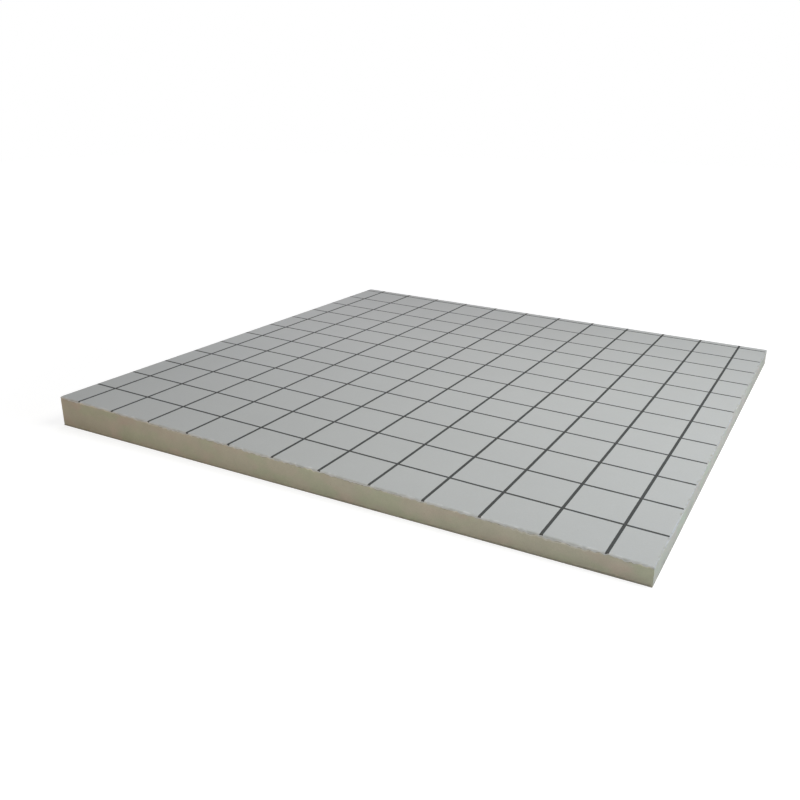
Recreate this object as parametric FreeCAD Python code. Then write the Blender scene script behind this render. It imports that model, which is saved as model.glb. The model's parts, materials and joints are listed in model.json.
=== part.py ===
"""Tapered polyiso roof insulation board: a rigid foam core between two thin facer sheets.

Sizes are in millimetres. +X runs down the fall, from the thick edge to the thin edge, +Y runs
along those two edges, from the front edge to the back edge, and +Z is up. The origin is the
middle of the underside.

The board is square in plan and its underside is flat, so the upper face carries the whole fall.
The upper face was sawn a little out of true, so the back edge is also slightly higher than the
front edge. Each facer is bonded over its face of the core and is rolled a little over the
arrises, where handling has pressed the foam round. Below that lip the sawn foam shows, flush
with the facer.
"""

import FreeCAD, Part

import math
import os

BOARD_LENGTH = 1200.0  # plan size along the fall
BOARD_WIDTH = 1200.0  # plan size across the fall
THIN_EDGE = 35.0  # overall height of the thin edge at its middle, facers included
FALL_RUN = 40.0  # run along X for one unit of fall, so the fall is 1:40
CROSS_RUN = 300.0  # run along Y for one unit of rise, so the back edge is 4 mm higher

UPPER_FACER = 0.6  # thickness of the printed upper facer
LOWER_FACER = 0.6  # thickness of the plain lower facer

UPPER_ARRIS_RADIUS = 2.0  # outside radius of the rolled upper arris
UPPER_REACH = 0.5  # how far the upper facer reaches down the sides past its arris
LOWER_ARRIS_RADIUS = 1.5  # outside radius of the lower arris
LOWER_REACH = 0.5  # how far the lower facer reaches up the sides past its arris

OVERRUN = 10.0  # how far a cutting block runs past what it cuts
ON_EDGE = 0.001  # how near an edge's height is to a face's for it to belong to that face

UPPER_NORMAL = FreeCAD.Vector(1.0 / FALL_RUN, -1.0 / CROSS_RUN, 1.0)
UPPER_LIP = UPPER_ARRIS_RADIUS + UPPER_REACH
LOWER_LIP = LOWER_ARRIS_RADIUS + LOWER_REACH
PARTS_FOLDER = "parts"


def upper_height(x, y, drop=0.0):
    """Height of the upper face at a plan place, or of a parallel plane drop below it."""
    at_origin = THIN_EDGE + BOARD_LENGTH / 2.0 / FALL_RUN
    return at_origin - x / FALL_RUN + y / CROSS_RUN - drop * UPPER_NORMAL.Length


def wide_block(height):
    """A block that is wider than the board, with its underside at z = 0."""
    width = BOARD_LENGTH + BOARD_WIDTH
    return Part.makeBox(width, width, height, FreeCAD.Vector(-width / 2.0, -width / 2.0, 0.0))


def block_above_upper(drop):
    """A wide block standing on the plane that is drop below the upper face."""
    height = upper_height(-BOARD_LENGTH / 2.0, BOARD_WIDTH / 2.0) + OVERRUN
    block = wide_block(height)
    block.Placement = FreeCAD.Placement(
        FreeCAD.Vector(0.0, 0.0, upper_height(0.0, 0.0, drop)),
        FreeCAD.Rotation(FreeCAD.Vector(0.0, 0.0, 1.0), UPPER_NORMAL),
    )
    return block


def wedge(inset, drop, lift):
    """A board-shaped solid with sharp edges.

    inset moves the four sides in, drop lowers the sloping face square to itself, and lift
    raises the flat underside.
    """
    end = BOARD_LENGTH / 2.0 - inset
    side = BOARD_WIDTH / 2.0 - inset
    height = upper_height(-end, side) - lift
    corner = FreeCAD.Vector(-end, -side, lift)
    return Part.makeBox(2.0 * end, 2.0 * side, height, corner).cut(block_above_upper(drop))


def edges_at(solid, height):
    """The edges whose two ends both lie at height(x, y)."""
    return [
        edge
        for edge in solid.Edges
        if all(abs(v.Z - height(v.X, v.Y)) < ON_EDGE for v in edge.Vertexes)
    ]


def rounded_wedge(inset, drop, lift, upper_radius, lower_radius):
    """A wedge with its upper and lower arrises rounded and its upright corners left sharp."""
    solid = wedge(inset, drop, lift)
    upper = edges_at(solid, lambda x, y: upper_height(x, y, drop))
    solid = solid.makeFillet(upper_radius, upper)
    lower = edges_at(solid, lambda x, y: lift)
    return solid.makeFillet(lower_radius, lower)


def board_envelope():
    """The whole board as one solid: everything that the foam and the facers fill."""
    return rounded_wedge(0.0, 0.0, 0.0, UPPER_ARRIS_RADIUS, LOWER_ARRIS_RADIUS)


def upper_facer_sheet(envelope):
    """The printed facer: a sloping sheet with its edges rolled down to the lip."""
    inside = rounded_wedge(
        UPPER_FACER,
        UPPER_FACER,
        0.0,
        UPPER_ARRIS_RADIUS - UPPER_FACER,
        LOWER_ARRIS_RADIUS,
    )
    return envelope.common(block_above_upper(UPPER_LIP)).cut(inside)


def lower_facer_sheet(envelope):
    """The plain facer: a flat sheet with its edges rolled up to the lip."""
    inside = rounded_wedge(
        LOWER_FACER,
        0.0,
        LOWER_FACER,
        UPPER_ARRIS_RADIUS,
        LOWER_ARRIS_RADIUS - LOWER_FACER,
    )
    return envelope.common(wide_block(LOWER_LIP)).cut(inside)


def foam_core_body(envelope, facers):
    """The foam: what is left of the envelope once both facers are taken from it."""
    core = envelope
    for facer in facers:
        core = core.cut(facer)
    return core


def build_board():
    """The board's pieces by name."""
    envelope = board_envelope()
    top_facer = upper_facer_sheet(envelope)
    bottom_facer = lower_facer_sheet(envelope)
    foam_core = foam_core_body(envelope, [top_facer, bottom_facer])
    return {
        "foam_core": foam_core,
        "top_facer": top_facer,
        "bottom_facer": bottom_facer,
    }


def main():
    """Writes each piece to its own file and prints its size."""
    os.makedirs(PARTS_FOLDER, exist_ok=True)
    for name, piece in build_board().items():
        piece.exportStep(os.path.join(PARTS_FOLDER, name + ".step"))
        box = piece.BoundBox
        print(
            f"{name}: {len(piece.Solids)} solid, {piece.Volume / 1e6:.3f} litres, "
            f"x {box.XMin:.2f} to {box.XMax:.2f}, y {box.YMin:.2f} to {box.YMax:.2f}, "
            f"z {box.ZMin:.2f} to {box.ZMax:.2f}"
        )


if __name__ == "__main__":
    main()
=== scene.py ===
"""A tapered insulation board: a foam wedge between a printed upper facer and a plain lower one.

All lengths are in metres and all places are in the frame's own axes: +X runs down the fall, from
the thick edge to the thin edge, +Y runs from the front edge to the back edge and +Z is up.
"""

import json
import logging
import math
from dataclasses import dataclass
from enum import Enum

import bpy
import numpy as np
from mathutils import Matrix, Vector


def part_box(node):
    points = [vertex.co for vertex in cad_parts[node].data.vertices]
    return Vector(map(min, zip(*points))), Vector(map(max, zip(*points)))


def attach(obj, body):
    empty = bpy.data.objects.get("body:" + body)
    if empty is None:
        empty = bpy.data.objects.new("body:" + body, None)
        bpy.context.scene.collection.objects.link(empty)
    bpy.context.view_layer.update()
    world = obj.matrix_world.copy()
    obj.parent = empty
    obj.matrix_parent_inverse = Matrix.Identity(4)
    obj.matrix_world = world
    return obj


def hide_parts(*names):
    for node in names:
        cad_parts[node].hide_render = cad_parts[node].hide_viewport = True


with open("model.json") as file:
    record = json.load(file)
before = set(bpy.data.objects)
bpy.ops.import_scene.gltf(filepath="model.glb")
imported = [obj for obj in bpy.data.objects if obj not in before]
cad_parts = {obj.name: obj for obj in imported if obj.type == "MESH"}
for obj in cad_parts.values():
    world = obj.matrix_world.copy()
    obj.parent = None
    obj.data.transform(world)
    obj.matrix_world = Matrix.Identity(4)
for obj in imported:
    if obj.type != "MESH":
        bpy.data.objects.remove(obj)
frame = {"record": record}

LOG = logging.getLogger("board")
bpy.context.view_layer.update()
BODY = "root"
MM = 0.001
QUARTER_TURN = math.pi / 2.0
WELD = 1e-6  # vertices nearer than this to each other are one vertex
CREASE = math.radians(40.0)  # edges that turn by more than this stay sharp
FAR = 1.0  # the distance from an edge that is given to what lies well away from it
NOISE_MEAN = 0.5  # what a noise texture gives on average
FINE_DETAIL = 3.0  # how many finer layers a detailed noise has
SOCKET_KINDS = {"Vector": "NodeSocketVector", "Color": "NodeSocketColor"}  # others are numbers
SMOOTH = {"interpolation_type": "SMOOTHSTEP"}

Array = np.ndarray
Material = bpy.types.Material
Object = bpy.types.Object
Sockets = bpy.types.bpy_prop_collection
Socket = bpy.types.NodeSocket
Tree = bpy.types.NodeTree
Colour = tuple[float, float, float, float]
Place = tuple[float, float, float]
Span = tuple[float, float]


class Face(Enum):
    """Which broad face of the board a sheet is bonded to."""

    UPPER = "upper"
    LOWER = "lower"


class Dye(Enum):
    """Which of a facer's materials a face of its mesh takes."""

    PAPER = 0
    INK = 1
    TORN = 2


@dataclass(frozen=True)
class BoardForm:
    """The board's sharp-edged form, from the plane z = 0 up to one that falls along +X."""

    half_length: float
    half_width: float
    mid_height: float
    fall: float
    rise: float

    @classmethod
    def from_frame(cls) -> "BoardForm":
        """Reads the plan from the foam's box, and the upper plane from the upper face's mount.

        Returns:
            The form.
        """
        low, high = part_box("foam_core")
        mounts = {mount["name"]: mount for mount in frame["record"]["mounts"]}
        x, y, z = mounts["upper_face"]["pos_m"]
        normal = mounts["upper_face"]["axis"]
        fall = normal[0] / normal[2]
        rise = -normal[1] / normal[2]
        middle = z + fall * x - rise * y
        return cls((high[0] - low[0]) / 2.0, (high[1] - low[1]) / 2.0, middle, fall, rise)

    def upper(self, x: Array, y: Array) -> Array:
        """The upper plane's height: the middle's, less the fall times x, plus the rise times y."""
        return self.mid_height - self.fall * x + self.rise * y


@dataclass(frozen=True)
class Roll:
    """The way a surface turns over an arris: flat, then a quarter circle, then down the side.

    margin is how far in from the side it starts. radius may be a column, one for each station.
    """

    margin: float
    radius: float | Array

    @property
    def flat(self) -> float | Array:
        """The length of the flat stretch between the margin's start and the quarter circle."""
        return self.margin - self.radius

    def run_to(self, drop: Array) -> Array:
        """The run to a drop: the flat, then r a where the drop is r (1 - cos a), then straight."""
        turn = np.arccos(np.clip(1.0 - drop / self.radius, 0.0, 1.0))
        return self.flat + self.radius * turn + np.maximum(drop - self.radius, 0.0)

    def place(self, run: Array, sunk: Array | float) -> tuple[Array, Array]:
        """Where a point on the rolled surface lies in the section square to the side.

        Formula: the run is spent on the flat, on the quarter circle and on the side in turn. The
        point is then moved inwards along the surface's normal by sunk.

        Args:
            run: The length along the surface from the margin's start.
            sunk: How deep the point lies under the outer surface.

        Returns:
            The distance in from the side, and the drop below the broad face.
        """
        on_flat = np.minimum(run, self.flat)
        turn = np.clip((run - self.flat) / self.radius, 0.0, QUARTER_TURN)
        on_side = np.maximum(run - self.flat - self.radius * QUARTER_TURN, 0.0)
        inset = self.margin - on_flat - (self.radius - sunk) * np.sin(turn)
        drop = self.radius - (self.radius - sunk) * np.cos(turn) + on_side
        return inset, drop


@dataclass(frozen=True)
class Waves:
    """A smooth random field in space, made of sine waves."""

    shortest: float
    longest: float
    seed: int
    count: int = 36

    def at(self, x: Array, y: Array, z: Array) -> Array:
        """The field's value at each point.

        Formula: the sum of equal sine waves with drawn directions, lengths and phases, divided
        by the square root of half their number, so its standard deviation is 1.

        Args:
            x, y, z: The points' places, in three arrays of one shape.

        Returns:
            The values, in an array of that shape.
        """
        draw = np.random.default_rng(self.seed)
        aim = draw.normal(size=(self.count, 3))
        aim /= np.linalg.norm(aim, axis=1, keepdims=True)
        lengths = np.exp(draw.uniform(math.log(self.shortest), math.log(self.longest), self.count))
        waves = aim * (2.0 * math.pi / lengths)[:, None]
        phases = draw.uniform(0.0, 2.0 * math.pi, self.count)
        angles = np.tensordot(np.stack([x, y, z], axis=-1), waves, axes=(-1, 1)) + phases
        return np.sin(angles).sum(axis=-1) / math.sqrt(self.count / 2.0)


@dataclass(frozen=True)
class Nicks:
    """Small chips round the board. placed has the middle, half-width and height of some."""

    spacing: float
    narrowest: float
    widest: float
    seed: int
    placed: tuple[Place, ...] = ()
    faintest: float = 0.1

    def at(self, along: Array, girth: float) -> Array:
        """How deep each place is in a chip, where 1 is a full one.

        Formula: the highest, at each place, of bell curves with drawn middles, half-widths and
        heights. Distances are taken the short way round the girth.

        Args:
            along: The distance of each place round the board.
            girth: The whole distance round it.

        Returns:
            The depths, in a column.
        """
        draw = np.random.default_rng(self.seed)
        count = round(girth / self.spacing)
        ranges = ((0.0, girth), (self.narrowest, self.widest), (self.faintest, 1.0))
        drawn = np.stack([draw.uniform(*ends, count) for ends in ranges], axis=1)
        placed = np.reshape(self.placed, (-1, 3))
        middles, widths, heights = np.concatenate([drawn, placed]).T
        apart = (along[:, None] - middles + girth / 2.0) % girth - girth / 2.0
        return (heights * np.exp(-((apart / widths) ** 2))).max(axis=1, keepdims=True)


@dataclass(frozen=True)
class LineSet:
    """Parallel printed lines, from the board's low edge, with a count of steps of each pitch."""

    first: float
    width: float
    steps: tuple[tuple[int, float], ...]

    def marks(self) -> Array:
        """The middles of the lines: the first, plus the sum of the steps before each."""
        counts, pitches = zip(*self.steps)
        return self.first + np.append(0.0, np.cumsum(np.repeat(pitches, counts)))


@dataclass(frozen=True)
class PrintedGrid:
    """The setting-out lines that the facer maker's roller prints in two directions.

    The pitch is nominally 100 mm. One step of each set is short, where the roller's ends meet,
    and the web was stretched unevenly as it was printed.
    """

    across: LineSet = LineSet(
        55.0 * MM,
        5.25 * MM,
        ((1, 94.3 * MM), (7, 99.0 * MM), (1, 96.8 * MM), (1, 98.1 * MM), (1, 96.5 * MM)),
    )
    down: LineSet = LineSet(
        94.0 * MM, 5.0 * MM, ((3, 97.6 * MM), (1, 92.4 * MM), (6, 99.1 * MM), (1, 101.8 * MM))
    )


def subdivide(stops: Array, pitch: float) -> tuple[Array, Array]:
    """Cuts each interval between stops into equal steps no longer than the pitch.

    Args:
        stops: Rising or falling places.
        pitch: The longest step.

    Returns:
        The places of the steps' ends, and the index among them of each stop.
    """
    gaps = np.diff(stops)
    counts = np.maximum(1, np.ceil(np.abs(gaps) / pitch - WELD)).astype(int)
    first = np.cumsum(counts) - counts
    share = (np.arange(counts.sum()) - np.repeat(first, counts)) / np.repeat(counts, counts)
    places = np.repeat(stops[:-1], counts) + share * np.repeat(gaps, counts)
    return np.append(places, stops[-1]), np.append(0, np.cumsum(counts))


def quads(a: Array, b: Array, c: Array, d: Array) -> Array:
    """Four-cornered faces, one in each row, from four arrays of their corners' indices."""
    return np.stack([corner.ravel() for corner in (a, b, c, d)], axis=1)


def add_object(name: str, data: bpy.types.ID) -> Object:
    """Makes an object at the origin and links it to the scene.

    Args:
        name: The object's name.
        data: Its mesh, light or camera.

    Returns:
        The object.
    """
    made = bpy.data.objects.new(name, data)
    bpy.context.scene.collection.objects.link(made)
    return made


class PlanGrid:
    """The board's plan cut into a coarse field of cells, with a fine girth of stations round it.

    The cells' edges follow the printed lines. Each station stands for a short section through
    the board's edge, square to the side, or on the mitre at a corner.
    """

    margin = 5.0 * MM
    stitch = 5.0 * MM
    cell = 20.0 * MM
    station_pitch = 2.0 * MM

    def __init__(self, form: BoardForm, grid: PrintedGrid) -> None:
        """Lays out the field and the girth.

        Args:
            form: The board's outer form.
            grid: The printed lines that the cells follow.
        """
        self.form = form
        self.columns, self.inked_columns = self.cut(form.half_length, grid.across)
        self.rows, self.inked_rows = self.cut(form.half_width, grid.down)
        self.lay_girth()
        x, y = self.outline()
        steps = np.hypot(np.diff(x[:, 0], append=x[0]), np.diff(y[:, 0], append=y[0]))
        self.girth = steps.sum()
        self.along = np.cumsum(steps) - steps

    def cut(self, half: float, lines: LineSet) -> tuple[Array, Array]:
        """Cuts one direction of the field at both edges of every printed line.

        Args:
            half: Half of the board's size in this direction.
            lines: The lines that cross this direction.

        Returns:
            The places of the cells' edges, and whether each cell is under a line.
        """
        end = half - self.margin - self.stitch
        middles = lines.marks() - half
        reach = lines.width / 2.0
        edges = np.stack([middles - reach, middles + reach], axis=1)
        places, _ = subdivide(np.concatenate([[-end], edges.ravel(), [end]]), self.cell)
        centres = (places[1:] + places[:-1]) / 2.0
        return places, (np.abs(centres[:, None] - middles[None, :]) < reach).any(axis=1)

    def lay_girth(self) -> None:
        """Lays the stations anticlockwise, seen from above, from the front left corner.

        Formula: a station lies at x = fixed x + run x (half length - inset), and likewise in y.
        Run x is 0 on the front and back, run y is 0 on the other sides, and neither is 0 on a
        corner. The stations beside a corner meet it where the inset is the margin.
        """
        turns = (
            (self.columns, self.inked_columns, 1, (0.0, -1.0), (-1.0, -1.0)),
            (self.rows, self.inked_rows, 1, (1.0, 0.0), (1.0, -1.0)),
            (self.columns, self.inked_columns, -1, (0.0, 1.0), (1.0, 1.0)),
            (self.rows, self.inked_rows, -1, (-1.0, 0.0), (-1.0, 1.0)),
        )
        fixed, runs, inked, feet = [], [], [], []
        count = 0
        for places, under_line, sense, run, corner in turns:
            along_x = run[0] == 0.0
            end = (self.form.half_length if along_x else self.form.half_width) - self.margin
            stops = np.concatenate([[-end], places, [end]])[::sense]
            under = np.concatenate([[False], under_line, [False]])[::sense]
            fine, at = subdivide(stops, self.station_pitch)
            level = np.zeros_like(fine)
            fixed += [[[0.0, 0.0]], np.stack([fine, level] if along_x else [level, fine], axis=1)]
            runs += [[corner], np.tile(run, (len(fine), 1))]
            inked += [[False], np.repeat(under, np.diff(at)), [False]]
            feet.append(count + 1 + at[1:-1])
            count += 1 + len(fine)
        self.fixed, self.runs = np.concatenate(fixed), np.concatenate(runs)
        self.inked_girth = np.concatenate(inked)
        self.feet, self.stations = feet, count

    def ring(self, inset: Array) -> tuple[Array, Array]:
        """Plan places at each station, from its row of distances in from the side."""
        x = self.fixed[:, :1] + self.runs[:, :1] * (self.form.half_length - inset)
        return x, self.fixed[:, 1:] + self.runs[:, 1:] * (self.form.half_width - inset)

    def outline(self) -> tuple[Array, Array]:
        """Plan places at each station on the board's side, in two columns."""
        return self.ring(np.zeros((self.stations, 1)))

    def frayed(self) -> Array:
        """1 for each station on the front or back side, and 0 on the other two, in a column."""
        return np.abs(self.runs[:, 1:])

    def field(self) -> tuple[Array, Array]:
        """Plan places of the field's vertices."""
        return np.meshgrid(self.columns, self.rows, indexing="ij")

    def field_index(self, start: int) -> Array:
        """The index of each of the field's vertices by column and row, counted from the start."""
        return start + np.arange(len(self.columns) * len(self.rows)).reshape(len(self.columns), -1)

    def field_faces(self, start: int) -> tuple[Array, Array]:
        """The field's cells, and whether each is under a printed line."""
        index, inked = self.field_index(start), self.inked_columns[:, None] | self.inked_rows
        return quads(index[:-1, :-1], index[1:, :-1], index[1:, 1:], index[:-1, 1:]), inked.ravel()

    def stitch_faces(self, start: int, foot: int, rows: int) -> tuple[list[list[int]], list[bool]]:
        """The flat faces that join the coarse field to one row of a fine girth.

        Args:
            start: The index of the field's first vertex.
            foot: The index of the first station's vertex in that row.
            rows: How many vertices each station has.

        Returns:
            One face for each cell along the field's rim and one for each corner, and whether
            each is under a printed line.
        """
        index = self.field_index(start)
        rims = (index[:, 0], index[-1, :], index[::-1, -1], index[0, ::-1])
        ways = (self.inked_columns, self.inked_rows)
        flags = (*ways, *(way[::-1] for way in ways))
        faces, inked = [], []
        for side, (rim, feet, flag) in enumerate(zip(rims, self.feet, flags)):
            for cell in range(len(rim) - 1):
                fine = foot + rows * np.arange(feet[cell], feet[cell + 1] + 1)
                faces.append([int(rim[cell + 1]), int(rim[cell]), *fine.tolist()])
            ahead = self.feet[(side + 1) % len(rims)][0]
            if ahead < feet[-1]:
                ahead += self.stations
            fine = foot + rows * (np.arange(feet[-1], ahead + 1) % self.stations)
            faces.append([int(rim[-1]), *fine.tolist()])
            inked += [*flag.tolist(), False]
        return faces, inked

    def girth_faces(self, start: int, rows: int) -> Array:
        """The faces of a girth grid with that many rows, which closes on itself."""
        here = start + rows * np.arange(self.stations)[:, None] + np.arange(rows - 1)
        return quads(here, here + 1, np.roll(here + 1, -1, axis=0), np.roll(here, -1, axis=0))


class Skin:
    """Collects vertices, faces, dyes and attributes, and makes a welded mesh of them."""

    def __init__(self) -> None:
        """Starts empty."""
        self.points: list[Array] = []
        self.marks: dict[str, list[Array]] = {}
        self.faces: list[list[int]] = []
        self.dyes: list[int] = []
        self.count = 0

    def add_points(self, x: Array, y: Array, z: Array, **marks: object) -> int:
        """Adds vertices.

        Args:
            x, y, z: Their places, in three arrays of one shape.
            **marks: Values of named attributes, one number or one for each vertex.

        Returns:
            The index of the first vertex added.
        """
        start = self.count
        self.points.append(np.stack([x.ravel(), y.ravel(), z.ravel()], axis=1))
        for name, values in marks.items():
            self.marks.setdefault(name, []).append(np.broadcast_to(values, x.shape).ravel())
        self.count += x.size
        return start

    def add_faces(self, faces: list | Array, flip: bool, dyes: int | Array = 0) -> None:
        """Adds faces.

        Args:
            faces: The vertex indices of each face.
            flip: Whether the faces are turned over.
            dyes: The material index of each face, or one for them all.
        """
        rings = faces.tolist() if isinstance(faces, Array) else faces
        self.faces += [ring[::-1] for ring in rings] if flip else rings
        self.dyes += np.broadcast_to(dyes, len(rings)).tolist()

    def build(self, name: str, materials: list[Material]) -> Object:
        """Makes the mesh and welds the vertices that coincide.

        Args:
            name: The object's name.
            materials: The object's materials, in the order of the dyes.

        Returns:
            The new object, at the origin.
        """
        points = np.concatenate(self.points)
        keys = np.round(points / WELD).astype(np.int64)
        _, kept, same = np.unique(keys, axis=0, return_index=True, return_inverse=True)
        same = same.ravel()
        faces, dyes = [], []
        for face, dye in zip(self.faces, self.dyes):
            welded = same[face].tolist()
            ring = [v for v, before in zip(welded, [welded[-1], *welded[:-1]]) if v != before]
            if len(ring) > 2:
                faces.append(ring)
                dyes.append(dye)
        mesh = bpy.data.meshes.new(name)
        mesh.from_pydata(points[kept].tolist(), [], faces)
        for mark, values in self.marks.items():
            layer = mesh.attributes.new(mark, "FLOAT", "POINT")
            layer.data.foreach_set("value", np.concatenate(values)[kept].astype(np.float32))
        for material in materials:
            mesh.materials.append(material)
        mesh.polygons.foreach_set("material_index", np.array(dyes, dtype=np.int32))
        mesh.polygons.foreach_set("use_smooth", np.ones(len(faces), dtype=bool))
        mesh.set_sharp_from_angle(angle=CREASE)
        mesh.validate()
        mesh.update()
        return add_object(name, mesh)


class Wiring:
    """Places the nodes of one tree and links them. A value may be another node's output."""

    def __init__(self, tree: Tree) -> None:
        """Takes the tree over and empties it."""
        self.tree = tree
        self.tree.nodes.clear()

    def plug(self, socket: Socket, value: object) -> None:
        """Links an output to a socket, or sets the socket to a plain value."""
        if isinstance(value, Socket):
            self.tree.links.new(value, socket)
        else:
            socket.default_value = value

    def add(self, kind: str, settings: dict | None = None, **sockets: object) -> bpy.types.Node:
        """Places a node.

        Args:
            kind: The node's type, such as ShaderNodeMath.
            settings: The node's own settings by name.
            **sockets: The value of each input, with an underscore for each space in the input's
                name, or i and a number for an input by its place.

        Returns:
            The new node.
        """
        node = self.tree.nodes.new(kind)
        for name, value in (settings or {}).items():
            setattr(node, name, value)
        for name, value in sockets.items():
            by_place = name[0] == "i" and name[1:].isdigit()
            self.plug(node.inputs[int(name[1:]) if by_place else name.replace("_", " ")], value)
        return node

    def effect(self, group: Tree, settings: object, **sockets: object) -> Sockets:
        """Places a shared node group, with the settings on the inputs of their names."""
        named = {name.capitalize(): value for name, value in vars(settings).items()}
        return self.add("ShaderNodeGroup", {"node_tree": group}, **named, **sockets).outputs

    def place(self) -> Socket:
        """Places a Texture Coordinate node and returns its Object output."""
        return self.add("ShaderNodeTexCoord").outputs["Object"]

    def mark(self, name: str) -> Socket:
        """Reads one of the mesh's own attributes as a number."""
        return self.add("ShaderNodeAttribute", {"attribute_name": name}).outputs["Fac"]

    def math(self, operation: str, *values: object) -> Socket:
        """Places a Math node with the values on its inputs in order."""
        sockets = {f"i{place}": value for place, value in enumerate(values)}
        return self.add("ShaderNodeMath", {"operation": operation}, **sockets).outputs[0]

    def vary(self, value: object, middle: float, strength: object) -> Socket:
        """1, plus the strength times how far the value is above its middle."""
        return self.math("MULTIPLY_ADD", self.math("SUBTRACT", value, middle), strength, 1.0)

    def noise(
        self, vector: Socket, scale: object, detail: float = 2.0, rough: float = 0.5
    ) -> Socket:
        """A noise with that many waves for each unit, and finer layers by detail and rough."""
        sockets = {"Vector": vector, "Scale": scale, "Detail": detail, "Roughness": rough}
        return self.add("ShaderNodeTexNoise", **sockets).outputs[0]

    def cells(self, vector: Socket, scale: object) -> Sockets:
        """Random cells, that many for each unit, each with a colour and a distance."""
        return self.add("ShaderNodeTexVoronoi", Vector=vector, Scale=scale).outputs

    def stretch(self, vector: Socket, scale: Place, move: Place = (0.0, 0.0, 0.0)) -> Socket:
        """Scales coordinates by a factor along each axis, and then moves them."""
        return self.add("ShaderNodeMapping", Vector=vector, Scale=scale, Location=move).outputs[0]

    def blend(self, share: object, first: object, second: object) -> Socket:
        """Mixes two colours, with that share of the second."""
        sockets = {"i0": share, "i6": first, "i7": second}
        return self.add("ShaderNodeMix", {"data_type": "RGBA"}, **sockets).outputs[2]

    def tint(self, colour: Socket, factor: object) -> Socket:
        """Multiplies a colour by a number."""
        sockets = {"i0": colour, "Scale": factor}
        return self.add("ShaderNodeVectorMath", {"operation": "SCALE"}, **sockets).outputs[0]

    def ease(self, value: object, held: tuple[float, object], onto: Span) -> Socket:
        """Maps a held range smoothly onto another one, and stays at its ends beyond them."""
        ends = dict(From_Min=held[0], From_Max=held[1], To_Min=onto[0], To_Max=onto[1])
        return self.add("ShaderNodeMapRange", SMOOTH, Value=value, **ends).outputs[0]

    def surface(
        self, colour: Socket, roughness: object, gloss: float, height: Socket, depth: float
    ) -> None:
        """Ends a material with a bumped surface.

        Args:
            colour: Its colour.
            roughness: Its roughness.
            gloss: Its specular level.
            height: The relief that the bump shows.
            depth: How much a relief of 1 is.
        """
        bump = self.add("ShaderNodeBump", Strength=1.0, Distance=depth, Height=height)
        shader = self.add(
            "ShaderNodeBsdfPrincipled",
            Base_Color=colour,
            Roughness=roughness,
            Normal=bump.outputs[0],
            Specular_IOR_Level=gloss,
        )
        self.add("ShaderNodeOutputMaterial", Surface=shader.outputs[0])

    def grey(self, kind: str, tone: float, **sockets: object) -> Socket:
        """A grey shader of a kind of node."""
        return self.add(kind, Color=(tone, tone, tone, 1.0), **sockets).outputs[0]

    def split(self, lit: Socket, shown: Socket) -> Socket:
        """Parts the rays that show the studio itself from the others.

        Args:
            lit: What the light meets.
            shown: What the camera sees, also mirrored or let through.

        Returns:
            The mixed shader.
        """
        path = self.add("ShaderNodeLightPath").outputs
        seen = self.math("MAXIMUM", path["Is Camera Ray"], path["Is Glossy Ray"])
        seen = self.math("MAXIMUM", seen, path["Is Transmission Ray"])
        return self.add("ShaderNodeMixShader", i0=seen, i1=lit, i2=shown).outputs[0]


def new_material(name: str) -> tuple[Material, Wiring]:
    """Makes a material with an empty node tree.

    Args:
        name: The material's name.

    Returns:
        The material, and its tree's wiring.
    """
    material = bpy.data.materials.new(name)
    material.use_nodes = True
    return material, Wiring(material.node_tree)


@dataclass(frozen=True)
class Clouding:
    """How many soft clouds of tone there are for each metre, and how strong they are."""

    scale: float
    amount: float


@dataclass(frozen=True)
class Fleece:
    """How much of a facer's felted grain shows in its tone."""

    contrast: float


@dataclass(frozen=True)
class WearAndShade:
    """How unevenly an edge mask for wear and for painted shade and light fades from an edge, as a
    share of its reach, and waves for each metre.
    """

    scale: float
    uneven: float


@dataclass(frozen=True)
class Specks:
    """Cells for each metre, a speck's radius as a share of a cell, and the share with one."""

    scale: float
    size: float
    share: float


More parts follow.
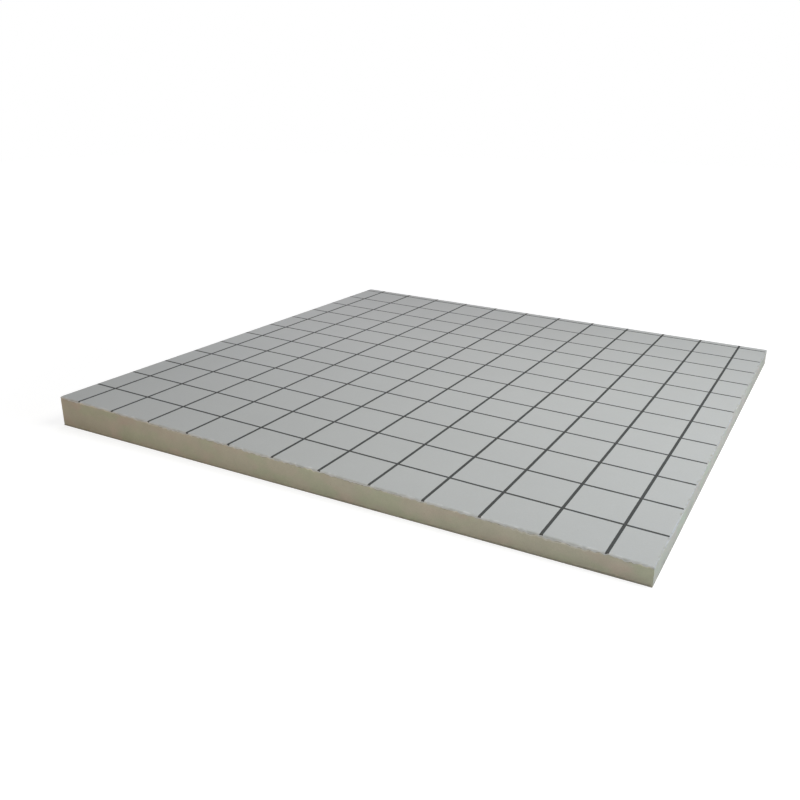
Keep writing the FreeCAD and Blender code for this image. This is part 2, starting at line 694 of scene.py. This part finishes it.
class Effects:
    """The shader node groups that more than one finish uses, each built once."""

    cloud_gain = 3.0  # how much the clouding's tone moves for its amount
    cloud_finer = 7.0  # how many times finer its second noise is than its first
    cloud_fine_share = 0.5  # how strong the second is
    fibres = ((900.0, 260.0, 900.0), (240.0, 820.0, 900.0))  # waves for each metre, two ways
    fleece_mean = 0.55  # the fleece's height on average
    wear_gain = 4.0  # how much the edge mask, for wear and painted shade and light, moves for its unevenness

    def __init__(self) -> None:
        """Builds the groups."""
        self.clouding = self.build_clouding()
        self.fleece = self.build_fleece()
        self.wear = self.build_wear()
        self.specks = self.build_specks()

    def start(
        self, name: str, inputs: tuple[str, ...], outputs: tuple[str, ...]
    ) -> tuple[Wiring, list[Socket], Sockets]:
        """Starts a group with named sockets.

        Args:
            name: The group's name.
            inputs: The inputs' names, which also tell their kinds.
            outputs: The outputs' names.

        Returns:
            The group's wiring, what comes in by each input, and where the outputs are plugged.
        """
        group = bpy.data.node_groups.new(name, "ShaderNodeTree")
        for in_out, sockets in (("INPUT", inputs), ("OUTPUT", outputs)):
            for socket in sockets:
                kind = SOCKET_KINDS.get(socket, "NodeSocketFloat")
                group.interface.new_socket(name=socket, in_out=in_out, socket_type=kind)
        wiring = Wiring(group)
        given = wiring.add("NodeGroupInput").outputs
        return wiring, [given[socket] for socket in inputs], wiring.add("NodeGroupOutput").inputs

    def build_clouding(self) -> Tree:
        """A colour that drifts softly in tone, as paper, ink and foam do over a hand's breadth.

        Returns:
            The group. Formula: the colour times 1 plus the gain times the amount times a coarse
            noise plus a share of a finer one, both centred.
        """
        inputs = ("Vector", "Color", "Scale", "Amount")
        wiring, (vector, colour, scale, amount), end = self.start("clouding", inputs, ("Color",))
        finer = wiring.math("MULTIPLY", scale, self.cloud_finer)
        fine = wiring.noise(vector, finer, FINE_DETAIL)
        coarse = wiring.noise(vector, scale)
        drift = wiring.math("MULTIPLY_ADD", fine, self.cloud_fine_share, coarse)
        middle = NOISE_MEAN * (1.0 + self.cloud_fine_share)
        factor = wiring.vary(drift, middle, wiring.math("MULTIPLY", amount, self.cloud_gain))
        wiring.plug(end["Color"], wiring.tint(colour, factor))
        return wiring.tree

    def build_fleece(self) -> Tree:
        """The fine felted grain of a coated facer, made of short fibres lying two ways.

        Returns:
            The group, with a height for bump and a tone near 1 that follows the height.
        """
        inputs, outputs = ("Vector", "Contrast"), ("Height", "Tone")
        wiring, (vector, contrast), end = self.start("fleece", inputs, outputs)
        ways = [wiring.noise(wiring.stretch(vector, waves), 1.0) for waves in self.fibres]
        height = wiring.math("MAXIMUM", *ways)
        wiring.plug(end["Height"], height)
        wiring.plug(end["Tone"], wiring.vary(height, self.fleece_mean, contrast))
        return wiring.tree

    def build_wear(self) -> Tree:
        """A mask that is 1 at an edge and fades out unevenly over a reach, for wear and for painted
        shade and light.

        Returns:
            The group, where Gap is the distance from the edge.
        """
        inputs = ("Vector", "Gap", "Reach", "Scale", "Uneven")
        wiring, (vector, gap, reach, scale, uneven), end = self.start("wear", inputs, ("Mask",))
        patchy = wiring.math("SUBTRACT", wiring.noise(vector, scale, FINE_DETAIL), NOISE_MEAN)
        strength = wiring.math("MULTIPLY", uneven, self.wear_gain)
        share = wiring.math("DIVIDE", gap, reach)
        moved = wiring.math("MULTIPLY_ADD", patchy, strength, share)
        wiring.plug(end["Mask"], wiring.ease(moved, (0.0, 1.0), (1.0, 0.0)))
        return wiring.tree

    def build_specks(self) -> Tree:
        """A mask of small round specks, few enough to lie apart.

        Returns:
            The group.
        """
        inputs = ("Vector", "Scale", "Size", "Share")
        wiring, (vector, scale, size, share), end = self.start("specks", inputs, ("Mask",))
        cells = wiring.cells(vector, scale)
        chance = wiring.add("ShaderNodeSeparateColor", Color=cells["Color"]).outputs[0]
        held = wiring.math("LESS_THAN", chance, share)
        near = wiring.ease(cells["Distance"], (0.0, size), (1.0, 0.0))
        wiring.plug(end["Mask"], wiring.math("MULTIPLY", held, near))
        return wiring.tree


@dataclass(frozen=True)
class FacerFinish:
    """A matt coated laminate of paper and glass fleece, or the ink or torn ply on it.

    Near the torn edge on the left and right sides, the colour turns to the worn one: edge wear, and
    on the upper paper also painted shade that dulls the lamps' highlight on the rolled arris. On
    the front and back sides, where the mask reaches further, it turns to the frayed one: pale torn
    paper, and on the upper paper also painted light that brightens the rolled lip, which faces
    away from the lamps.
    """

    name: str
    colour: Colour
    worn: Colour
    frayed: Colour
    speck: Colour
    clouding: Clouding = Clouding(5.0, 0.02)
    fleece: Fleece = Fleece(0.15)
    roughness: float = 0.8
    roughness_range: float = 0.1
    gloss: float = 0.1
    grain_depth: float = 0.05 * MM
    worn_reach: float = 3.5 * MM
    frayed_reach: float = 5.3 * MM
    wear: WearAndShade = WearAndShade(60.0, 0.8)
    specks: Specks = Specks(70.0, 0.09, 0.004)

    def make(self, effects: Effects) -> Material:
        """Builds the material: a clouded colour, a felted grain, sparse specks and a worn edge.

        Args:
            effects: The shared node groups.

        Returns:
            The material.
        """
        material, wiring = new_material(self.name)
        place, frayed = wiring.place(), wiring.mark("frayed")
        clouded = wiring.effect(effects.clouding, self.clouding, Vector=place, Color=self.colour)
        longer = self.frayed_reach - self.worn_reach
        worn = wiring.effect(
            effects.wear,
            self.wear,
            Vector=place,
            Gap=wiring.mark("off_edge"),
            Reach=wiring.math("MULTIPLY_ADD", frayed, longer, self.worn_reach),
        )
        # The edge colour: on the upper paper, painted shade on the left and right arrises and
        # painted light on the front and back lip, over edge wear and pale torn paper.
        edge = wiring.blend(frayed, self.worn, self.frayed)
        colour = wiring.blend(worn["Mask"], clouded["Color"], edge)
        specks = wiring.effect(effects.specks, self.specks, Vector=place)
        colour = wiring.blend(specks["Mask"], colour, self.speck)
        fleece = wiring.effect(effects.fleece, self.fleece, Vector=place)
        height, colour = fleece["Height"], wiring.tint(colour, fleece["Tone"])
        smoothest = self.roughness - self.roughness_range / 2.0
        dull = wiring.math("MULTIPLY_ADD", height, self.roughness_range, smoothest)
        wiring.surface(colour, dull, self.gloss, height, self.grain_depth)
        return material


@dataclass(frozen=True)
class EdgeBand:
    """A band of another colour along the foam's edge that the attribute mark is measured from."""

    mark: str
    colour: Colour
    reach: float
    wear: WearAndShade


@dataclass(frozen=True)
class FoamFinish:
    """Sawn closed-cell foam: soft blotches, a fine cell grain, pits darkened with painted shade,
    and marks near its edges, some of them painted shade.

    Scales are in waves for each metre, apart from the grain's, in waves for each foam cell.
    """

    name: str
    colour: Colour
    warm: Colour
    green: Colour
    bared: Colour
    pit: Colour
    bands: tuple[EdgeBand, ...]
    cell: float = 0.9 * MM
    tones: Span = (0.95, 1.04)
    roughness: float = 0.92
    gloss: float = 0.15
    blotch_squash: Place = (1.0, 1.0, 1.8)
    blotch_range: Span = (0.45, 0.68)
    warm_scale: float = 15.0
    green_scale: float = 17.0
    green_shift: Place = (3.1, 7.7, 1.3)
    clouding: Clouding = Clouding(30.0, 0.07)
    pits: Specks = Specks(220.0, 0.25, 0.05)
    grain_scale: float = 0.6
    grain_roughness: float = 0.6
    grain_contrast: float = 0.3
    grain_depth: float = 0.12 * MM
    cell_relief: float = 0.8
    saw_relief: float = 0.5
    saw_scales: Place = (40.0, 40.0, 700.0)

    def blotches(self, wiring: Wiring, place: Socket) -> Socket:
        """The foam's colour with warm and green blotches a few centimetres wide.

        Args:
            wiring: The material's nodes.
            place: The coordinates.

        Returns:
            The colour.
        """
        flat = wiring.stretch(place, self.blotch_squash)
        moved = wiring.stretch(flat, (1.0, 1.0, 1.0), self.green_shift)
        colour = self.colour
        for vector, scale, other in (
            (flat, self.warm_scale, self.warm),
            (moved, self.green_scale, self.green),
        ):
            share = wiring.ease(wiring.noise(vector, scale), self.blotch_range, (0.0, 1.0))
            colour = wiring.blend(share, colour, other)
        return colour

    def fade(self, wiring: Wiring) -> Socket:
        """A tone that grows from the lower facer's edge to the upper facer's.

        Args:
            wiring: The material's nodes.

        Returns:
            The tone.
        """
        below, above = wiring.mark("below_facer"), wiring.mark("above_base")
        whole = wiring.math("MAXIMUM", wiring.math("ADD", below, above), MM)
        return wiring.ease(wiring.math("DIVIDE", above, whole), (0.0, 1.0), self.tones)

    def make(self, effects: Effects) -> Material:
        """Builds the material.

        Args:
            effects: The shared node groups.

        Returns:
            The material.
        """
        material, wiring = new_material(self.name)
        place = wiring.place()
        base = self.blotches(wiring, place)
        clouded = wiring.effect(effects.clouding, self.clouding, Vector=place, Color=base)
        colour = wiring.tint(clouded["Color"], self.fade(wiring))
        # Bands along the edges: a pale strip under the upper facer, and painted shade just under
        # that facer's torn edge and along the base.
        for band in self.bands:
            gap = wiring.mark(band.mark)
            worn = wiring.effect(effects.wear, band.wear, Vector=place, Gap=gap, Reach=band.reach)
            colour = wiring.blend(worn["Mask"], colour, band.colour)
        colour = wiring.blend(wiring.mark("bared"), colour, self.bared)
        pits = wiring.effect(effects.specks, self.pits, Vector=place)["Mask"]
        # Painted shade: the pits take a darker colour, as the shade inside them.
        colour = wiring.blend(pits, colour, self.pit)
        grain = wiring.noise(place, self.grain_scale / self.cell, FINE_DETAIL, self.grain_roughness)
        colour = wiring.tint(colour, wiring.vary(grain, NOISE_MEAN, self.grain_contrast))
        cells = wiring.cells(place, 1.0 / self.cell)["Distance"]
        saw = wiring.noise(wiring.stretch(place, self.saw_scales), 1.0)
        height = wiring.math("MULTIPLY_ADD", cells, self.cell_relief, grain)
        height = wiring.math("MULTIPLY_ADD", saw, self.saw_relief, height)
        height = wiring.math("SUBTRACT", height, pits)
        wiring.surface(colour, self.roughness, self.gloss, height, self.grain_depth)
        return material


@dataclass(frozen=True)
class Lip:
    """The torn edge of a facer: how far below its broad face it ends, all round the board.

    mean is the drop on the front and back sides, and side_mean is the drop on the other two.
    """

    mean: float
    side_mean: float
    lowest: float
    highest: float
    slow: float
    quick: float
    chip: float
    chips: Nicks
    seed: int
    slow_lengths: Span = (60.0 * MM, 260.0 * MM)
    quick_lengths: Span = (5.0 * MM, 14.0 * MM)

    def drop(self, plan: PlanGrid) -> Array:
        """The drop of the edge at each station.

        Formula: the side's mean, plus slow and quick waves, less the chips, and held between the
        lowest and the highest drop.

        Args:
            plan: The stations.

        Returns:
            The drops, in a column.
        """
        x, y = plan.outline()
        level = np.zeros_like(x)
        slow = Waves(*self.slow_lengths, self.seed).at(x, y, level)
        quick = Waves(*self.quick_lengths, self.seed + 1).at(x, y, level)
        drop = self.side_mean + (self.mean - self.side_mean) * plan.frayed()
        drop += self.slow * slow + self.quick * quick
        drop -= self.chip * self.chips.at(plan.along, plan.girth)
        return np.clip(drop, self.lowest, self.highest)


@dataclass
class FacerSheet:
    """One facer: a thin sheet over a broad face, rolled over the arrises to its torn edge.

    inside is how far its outer surface lies inside the board's outer form. tight is how far in
    from the margin the sheet is pulled tight and sags less.
    """

    name: str
    form: BoardForm
    plan: PlanGrid
    face: Face
    roll: Roll
    lip: Lip
    thickness: float = 0.6 * MM
    inside: float = 0.0
    sag: float = 0.0
    sag_waves: Waves = Waves(90.0 * MM, 300.0 * MM, 41)
    sag_swing: float = 0.25
    tight: float = 60.0 * MM
    rolled_rows: int = 10
    inked_rows: int = 5
    inked_frayed_rows: int = 7

    def __post_init__(self) -> None:
        """Works the torn edge out once, for the sheet and for the foam that it covers."""
        self.edge_run = self.roll.run_to(self.lip.drop(self.plan))

    def height(self, x: Array, y: Array, drop: Array) -> Array:
        """The height of a point that far below an upper face, or above a lower one."""
        return self.form.upper(x, y) - drop if self.face is Face.UPPER else drop

    def dip(self, x: Array, y: Array) -> Array:
        """How far the bonded sheet dips between its high spots.

        Formula: the sag times waves that are lifted to lie between 0 and 1, so they never rise
        over the plane, and faded out towards the margin, where the sheet is pulled tight.

        Args:
            x, y: Plan places, in two arrays of one shape.

        Returns:
            The dip at each place.
        """
        waves = self.sag_waves.at(x, y, np.zeros_like(x))
        to_edge = np.minimum(self.form.half_length - np.abs(x), self.form.half_width - np.abs(y))
        rim = self.plan.margin + self.plan.stitch
        fade = np.clip((to_edge - rim) / self.tight, 0.0, 1.0)
        return self.sag * fade * np.clip(0.5 + self.sag_swing * waves, 0.0, 1.0)

    def dye(self, inked: Array, outwards: bool) -> Array:
        """The material index of each face: ink only on the outer surface of an upper facer."""
        printed = np.asarray(inked) & (outwards and self.face is Face.UPPER)
        return np.where(printed, Dye.INK.value, Dye.PAPER.value)

    def add_side(self, skin: Skin, sunk: float, outwards: bool) -> int:
        """Adds the sheet's outer or inner surface.

        Args:
            skin: Takes the vertices and faces.
            sunk: How deep the surface lies under the board's outer form.
            outwards: Whether it is the outer surface, which carries the print.

        Returns:
            The index of the girth grid's first vertex.
        """
        plan, rows = self.plan, self.rolled_rows
        x, y = plan.field()
        drop = sunk + self.dip(x, y)
        field = skin.add_points(x, y, self.height(x, y, drop), off_edge=FAR, frayed=0.0)
        run = self.edge_run * np.linspace(0.0, 1.0, rows)
        inset, drop = self.roll.place(run, sunk)
        x, y = plan.ring(inset)
        marks = {"off_edge": self.edge_run - run, "frayed": plan.frayed()}
        girth = skin.add_points(x, y, self.height(x, y, drop), **marks)
        reach = np.where(plan.frayed() > 0.0, self.inked_frayed_rows, self.inked_rows)
        inked_girth = plan.inked_girth[:, None] & (np.arange(rows - 1) < reach)
        flip = (self.face is Face.UPPER) != outwards
        for faces, inked in (
            plan.field_faces(field),
            plan.stitch_faces(field, girth, rows),
            (plan.girth_faces(girth, rows), inked_girth.ravel()),
        ):
            skin.add_faces(faces, flip, self.dye(inked, outwards))
        return girth

    def build(self, materials: list[Material]) -> Object:
        """Makes the sheet as one closed skin.

        Args:
            materials: The paper, the ink and the torn edge.

        Returns:
            The sheet.
        """
        skin = Skin()
        outer = self.add_side(skin, self.inside, True)
        inner = self.add_side(skin, self.thickness, False)
        here = np.arange(self.plan.stations) * self.rolled_rows + self.rolled_rows - 1
        ahead = np.roll(here, -1)
        band = quads(outer + here, inner + here, inner + ahead, outer + ahead)
        skin.add_faces(band, self.face is Face.LOWER, Dye.TORN.value)
        return skin.build(self.name, materials)


@dataclass
class FoamWedge:
    """The foam: hidden under both facers, and sawn where it shows between their torn edges.

    The sawn face lies inside the board's outer form by shallowest and up to relief more. Its
    broad waves are squashed in height.
    """

    form: BoardForm
    plan: PlanGrid
    upper: FacerSheet
    lower: FacerSheet
    chips: Nicks
    name: str = "sawn_foam_wedge"
    hidden_rows: int = 4
    sawn_rows: int = 20
    clearance: float = 0.1 * MM
    step: float = 0.15 * MM
    shallowest: float = 0.1 * MM
    relief: float = 0.3 * MM
    broad: Waves = Waves(40.0 * MM, 160.0 * MM, 71)
    broad_swing: float = 0.2
    broad_squash: float = 2.0
    short: Waves = Waves(6.0 * MM, 18.0 * MM, 72)
    short_swing: float = 0.15
    chip_depth: float = 1.3 * MM
    chip_height: float = 1.6 * MM

    def chip_fade(self, below: Array) -> Array:
        """How much of a chip is left that far below the upper facer's edge, on a bell curve."""
        return np.exp(-((below / self.chip_height) ** 2))

    def sawn_sink(self, x: Array, y: Array, z: Array, below: Array) -> Array:
        """How far the sawn face lies inside the board's outer form.

        Formula: the shallowest sink, plus a relief made of broad and short waves, held so that
        it is never negative, plus chips that are deepest just under the upper facer's edge.

        Args:
            x, y, z: Places, in three arrays of one shape.
            below: The distance below the upper facer's edge.

        Returns:
            The sink at each place.
        """
        broad = self.broad.at(x, y, z * self.broad_squash)
        short = self.short.at(x, y, z)
        rough = np.clip(0.5 + self.broad_swing * broad + self.short_swing * short, 0.0, 1.0)
        chips = self.chips.at(self.plan.along, self.plan.girth)
        sink = self.shallowest + self.relief * rough
        return sink + self.chip_depth * chips * self.chip_fade(below)

    def profile(self) -> tuple[Array, Array, dict[str, Array]]:
        """The section at every station.

        Formula: from the top, the section follows the upper roll under the facer, steps out just
        past its torn edge, goes down the sawn side, steps in at the lower facer's torn edge and
        follows the lower roll back under the board. The sawn rows are closest near both edges,
        where their share of the way is (1 - cos t) / 2 for even steps of t over half a turn.

        Returns:
            Insets, heights and the attributes' values, each with a row for each station.
        """
        upper, lower = self.upper, self.lower
        side_height = self.form.upper(*self.plan.outline())
        bottom = upper.roll.run_to(side_height - lower.lip.drop(self.plan))
        hidden = np.linspace(0.0, 1.0, self.hidden_rows)
        deep = upper.thickness + self.clearance
        top_inset, drop = upper.roll.place(upper.edge_run * hidden, deep)
        top_z = self.form.upper(*self.plan.ring(top_inset)) - drop
        way = (1.0 - np.cos(np.linspace(0.0, math.pi, self.sawn_rows))) / 2.0
        below = self.step + (bottom - upper.edge_run - 2.0 * self.step) * way
        inset, drop = upper.roll.place(upper.edge_run + below, 0.0)
        x, y = self.plan.ring(inset)
        sink = self.sawn_sink(x, y, self.form.upper(x, y) - drop, below)
        inset, drop = upper.roll.place(upper.edge_run + below, sink)
        sawn_z = self.form.upper(*self.plan.ring(inset)) - drop
        deep = lower.thickness + self.clearance
        base_inset, base_z = lower.roll.place(lower.edge_run * hidden[::-1], deep)
        none = np.zeros_like(top_inset)
        whole = none + bottom - upper.edge_run
        bared = upper.lip.chips.at(self.plan.along, self.plan.girth) * self.chip_fade(below)
        insets, heights, below_facer, above_base, bared = (
            np.concatenate(parts, axis=1)
            for parts in (
                (top_inset, inset, base_inset),
                (top_z, sawn_z, base_z),
                (none, below, whole),
                (whole, whole[:, :1] - below, none),
                (none, bared, none),
            )
        )
        return insets, heights, dict(below_facer=below_facer, above_base=above_base, bared=bared)

    def build(self, material: Material) -> Object:
        """Makes the foam as one closed skin.

        Args:
            material: The foam's material.

        Returns:
            The foam.
        """
        skin = Skin()
        insets, heights, marks = self.profile()
        rows = insets.shape[1]
        girth = skin.add_points(*self.plan.ring(insets), heights, **marks)
        skin.add_faces(self.plan.girth_faces(girth, rows), False)
        x, y = self.plan.field()
        for sheet, row in ((self.upper, 0), (self.lower, rows - 1)):
            sunk = sheet.dip(x, y) + sheet.thickness + self.clearance
            field = skin.add_points(x, y, sheet.height(x, y, sunk), **dict.fromkeys(marks, FAR))
            turned = sheet.face is Face.LOWER
            skin.add_faces(self.plan.field_faces(field)[0], turned)
            skin.add_faces(self.plan.stitch_faces(field, girth + row, rows)[0], turned)
        return skin.build(self.name, [material])


@dataclass(frozen=True)
class Lamp:
    """A square soft lamp that faces the board's middle."""

    name: str
    place: Place
    size: float
    power: float
    colour: tuple[float, float, float] = (1.0, 1.0, 1.0)

    def hang(self) -> None:
        """Hangs the lamp, tilted and turned so that it faces the origin."""
        data = bpy.data.lights.new(self.name, "AREA")
        data.shape = "SQUARE"
        data.size = self.size
        data.energy = self.power
        data.color = self.colour
        lamp = add_object(self.name, data)
        x, y, z = self.place
        lamp.location = self.place
        tilt = math.atan2(math.hypot(x, y), z)
        lamp.rotation_euler = (tilt, 0.0, math.atan2(y, x) + QUARTER_TURN)


@dataclass(frozen=True)
class Studio:
    """The pale floor, the soft lamps and the camera.

    floor_tone is how pale the floor is to the light. floor_shade and floor_glow are how much of
    its shadow and of its own white the camera sees, and the white is full beyond glow_reach.
    """

    lamps: tuple[Lamp, ...]
    floor_half: float = 9.0
    floor_drop: float = 0.1 * MM
    floor_tone: float = 0.8
    floor_glow: float = 0.82
    floor_shade: float = 0.32
    glow_reach: Span = (0.9, 1.8)
    fill: float = 0.04
    backdrop: float = 1.0
    camera_place: Place = (0.77074, -1.58792, 0.6115)
    camera_turn: Place = (70.188, -0.101, 29.984)
    sensor: float = 36.0
    lens: float = 36.0

    def lay_floor(self) -> None:
        """Lays the floor: a pale one for the light, shown as white with a trace of shadow."""
        half = self.floor_half
        x, y = np.meshgrid((-half, half), (-half, half), indexing="ij")
        points = np.stack([x.ravel(), y.ravel(), np.full(4, -self.floor_drop)], axis=1)
        mesh = bpy.data.meshes.new("floor")
        mesh.from_pydata(points.tolist(), [], [[0, 2, 3, 1]])
        material, wiring = new_material("floor")
        pale = wiring.grey("ShaderNodeBsdfDiffuse", self.floor_tone)
        shaded = wiring.grey("ShaderNodeBsdfDiffuse", self.floor_shade)
        off = wiring.add("ShaderNodeVectorMath", {"operation": "LENGTH"}, i0=wiring.place())
        whiteness = (self.floor_glow, self.backdrop)
        strength = wiring.ease(off.outputs["Value"], self.glow_reach, whiteness)
        glow = wiring.add("ShaderNodeEmission", Strength=strength)
        shown = wiring.add("ShaderNodeAddShader", i0=shaded, i1=glow.outputs[0])
        mixed = wiring.split(pale, shown.outputs[0])
        wiring.add("ShaderNodeOutputMaterial", Surface=mixed)
        mesh.materials.append(material)
        floor = add_object("floor", mesh)

    def light_room(self) -> None:
        """Fills the room with even light, and shows it as plain white."""
        world = bpy.data.worlds.new("room")
        world.use_nodes = True
        wiring = Wiring(world.node_tree)
        fill = wiring.grey("ShaderNodeBackground", self.fill, Strength=1.0)
        shown = wiring.grey("ShaderNodeBackground", 1.0, Strength=self.backdrop)
        wiring.add("ShaderNodeOutputWorld", Surface=wiring.split(fill, shown))
        bpy.context.scene.world = world

    def set_camera(self) -> None:
        """Sets the camera up at the place and turn that the board is seen from."""
        data = bpy.data.cameras.new("camera")
        data.sensor_width = self.sensor
        data.lens = self.lens
        camera = add_object("camera", data)
        camera.location = self.camera_place
        camera.rotation_euler = [math.radians(angle) for angle in self.camera_turn]
        bpy.context.scene.camera = camera

    def build(self) -> None:
        """Builds the whole studio."""
        self.lay_floor()
        self.light_room()
        for lamp in self.lamps:
            lamp.hang()
        self.set_camera()
        bpy.context.scene.view_settings.view_transform = "Standard"


UPPER_PAPER = FacerFinish(
    name="upper_facer_paper",
    colour=(0.4905, 0.5, 0.494, 1.0),
    # Edge wear, and painted shade that dulls the lamps' highlight on the left and right arrises.
    worn=(0.41, 0.4, 0.36, 1.0),
    # Pale torn paper, and painted light that brightens the front and back lip, which faces away
    # from the lamps.
    frayed=(0.605, 0.612, 0.618, 1.0),
    speck=(0.2, 0.2, 0.19, 1.0),
)
GRID_INK = FacerFinish(
    name="grid_ink",
    colour=(0.07, 0.0725, 0.071, 1.0),
    worn=(0.12, 0.12, 0.115, 1.0),
    frayed=(0.11, 0.108, 0.1, 1.0),
    speck=(0.2, 0.2, 0.19, 1.0),
    clouding=Clouding(20.0, 0.08),
    fleece=Fleece(0.5),
)
TORN_PAPER = FacerFinish(
    name="torn_facer_edge",
    colour=(0.56, 0.545, 0.49, 1.0),
    worn=(0.5, 0.48, 0.42, 1.0),
    frayed=(0.6, 0.58, 0.52, 1.0),
    speck=(0.3, 0.29, 0.25, 1.0),
    clouding=Clouding(60.0, 0.1),
    fleece=Fleece(0.6),
    roughness=0.85,
    grain_depth=0.1 * MM,
)
LOWER_PAPER = FacerFinish(
    name="lower_facer_paper",
    colour=(0.36, 0.35, 0.31, 1.0),
    worn=(0.3, 0.29, 0.25, 1.0),
    frayed=(0.36, 0.345, 0.29, 1.0),
    speck=(0.15, 0.14, 0.12, 1.0),
    clouding=Clouding(5.0, 0.04),
    fleece=Fleece(0.3),
)
PALE_FOAM: Colour = (0.6, 0.585, 0.53, 1.0)
# Painted shade: a dark foam colour for the shadow just under the upper facer's torn edge and for
# the shade along the foam's base.
PAINTED_SHADE_FOAM: Colour = (0.29, 0.265, 0.22, 1.0)
SAWN_FOAM = FoamFinish(
    name="sawn_foam",
    colour=(0.47, 0.45, 0.37, 1.0),
    warm=(0.492, 0.437, 0.37, 1.0),
    green=(0.442, 0.454, 0.35, 1.0),
    bared=(0.78, 0.76, 0.66, 1.0),
    # Painted shade inside the pits.
    pit=(0.34, 0.32, 0.26, 1.0),
    bands=(
        EdgeBand("below_facer", PALE_FOAM, 2.6 * MM, WearAndShade(11.0, 0.9)),
        # Painted shadow just under the upper facer's torn edge.
        EdgeBand("below_facer", PAINTED_SHADE_FOAM, 1.3 * MM, WearAndShade(90.0, 0.8)),
        # Painted shade along the foam's base, above the lower facer.
        EdgeBand("above_base", PAINTED_SHADE_FOAM, 1.6 * MM, WearAndShade(60.0, 0.4)),
    ),
)
UPPER_CHIPS = Nicks(
    spacing=26.0 * MM,
    narrowest=1.5 * MM,
    widest=5.0 * MM,
    seed=13,
    placed=(
        (62.0 * MM, 7.0 * MM, 1.3),
        (95.0 * MM, 9.0 * MM, 1.1),
        (130.0 * MM, 11.0 * MM, 0.9),
        (627.0 * MM, 11.0 * MM, 1.2),
        (1182.0 * MM, 5.0 * MM, 0.9),
        (1229.0 * MM, 6.0 * MM, 1.4),
    ),
)
LOWER_CHIPS = Nicks(30.0 * MM, 1.5 * MM, 5.0 * MM, 23)
FOAM_CHIPS = Nicks(14.0 * MM, 1.5 * MM, 4.5 * MM, 73, ((1241.0 * MM, 6.0 * MM, 1.6),))
UPPER_LIP = Lip(
    mean=3.6 * MM,
    side_mean=1.9 * MM,
    lowest=0.8 * MM,
    highest=5.5 * MM,
    slow=0.3 * MM,
    quick=0.6 * MM,
    chip=1.5 * MM,
    chips=UPPER_CHIPS,
    seed=11,
)
LOWER_LIP = Lip(
    mean=2.0 * MM,
    side_mean=2.0 * MM,
    lowest=1.0 * MM,
    highest=3.0 * MM,
    slow=0.25 * MM,
    quick=0.2 * MM,
    chip=0.5 * MM,
    chips=LOWER_CHIPS,
    seed=21,
)
LAMPS = (
    Lamp("window", (2.8, -0.2, 1.0), 1.2, 19.4, (0.795, 1.0, 1.385)),
    Lamp("over", (1.2, 0.0, 1.8), 1.0, 30.6, (1.02, 1.0, 0.93)),
    Lamp("front", (0.2, -2.2, 0.7), 1.2, 9.2, (0.93, 1.0, 0.95)),
    Lamp("low_front", (-0.9, -2.4, 0.35), 0.6, 1.7, (2.25, 1.0, 0.18)),
    Lamp("left", (-0.9, 0.2, 1.6), 1.0, 5.7, (0.95, 1.0, 1.1)),
    Lamp("near_left", (-0.5, 0.5, 0.9), 0.5, 0.5, (1.3, 1.0, 1.05)),
    Lamp("behind", (-1.7, 1.7, 0.35), 0.8, 6.5),
    Lamp("low_right", (2.6, 0.1, 0.14), 0.24, 1.6, (0.6, 1.0, 2.25)),
)
SIDE_RADIUS = 1.2 * MM
FRAYED_RADIUS = 3.0 * MM
LOWER_RADIUS = 0.9 * MM
UPPER_INSIDE = 0.015 * MM
UPPER_SAG = 0.12 * MM


def make_sheets(form: BoardForm, plan: PlanGrid) -> tuple[FacerSheet, FacerSheet]:
    """Sizes both facers. The upper one's roll is wider where it is frayed, front and back.

    Args:
        form: The board's outer form.
        plan: The cells and stations that they are built on.

    Returns:
        The printed upper facer and the plain lower one.
    """
    radius = SIDE_RADIUS + (FRAYED_RADIUS - SIDE_RADIUS) * plan.frayed()
    above, below = Roll(plan.margin, radius), Roll(plan.margin, LOWER_RADIUS)
    fit = {"inside": UPPER_INSIDE, "sag": UPPER_SAG}
    upper = FacerSheet("printed_upper_facer", form, plan, Face.UPPER, above, UPPER_LIP, **fit)
    return upper, FacerSheet("plain_lower_facer", form, plan, Face.LOWER, below, LOWER_LIP)


def dress(piece: Object, node: str) -> None:
    """Puts a piece in a CAD node's place, on the body that the node rides on.

    Args:
        piece: The finished piece.
        node: The node it stands for.
    """
    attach(piece, BODY)
    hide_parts(node)
    mesh = piece.data
    LOG.info("%s: %d vertices, %d faces", piece.name, len(mesh.vertices), len(mesh.polygons))


def main() -> None:
    """Builds the board and the studio."""
    logging.basicConfig(level=logging.INFO, format="%(name)s: %(message)s")
    form = BoardForm.from_frame()
    plan = PlanGrid(form, PrintedGrid())
    effects = Effects()
    upper, lower = make_sheets(form, plan)
    foam = FoamWedge(form, plan, upper, lower, FOAM_CHIPS)
    ink, torn = GRID_INK.make(effects), TORN_PAPER.make(effects)
    dress(foam.build(SAWN_FOAM.make(effects)), "foam_core")
    dress(upper.build([UPPER_PAPER.make(effects), ink, torn]), "top_facer")
    dress(lower.build([LOWER_PAPER.make(effects), ink, torn]), "bottom_facer")
    Studio(LAMPS).build()


if __name__ == "__main__":
    main()
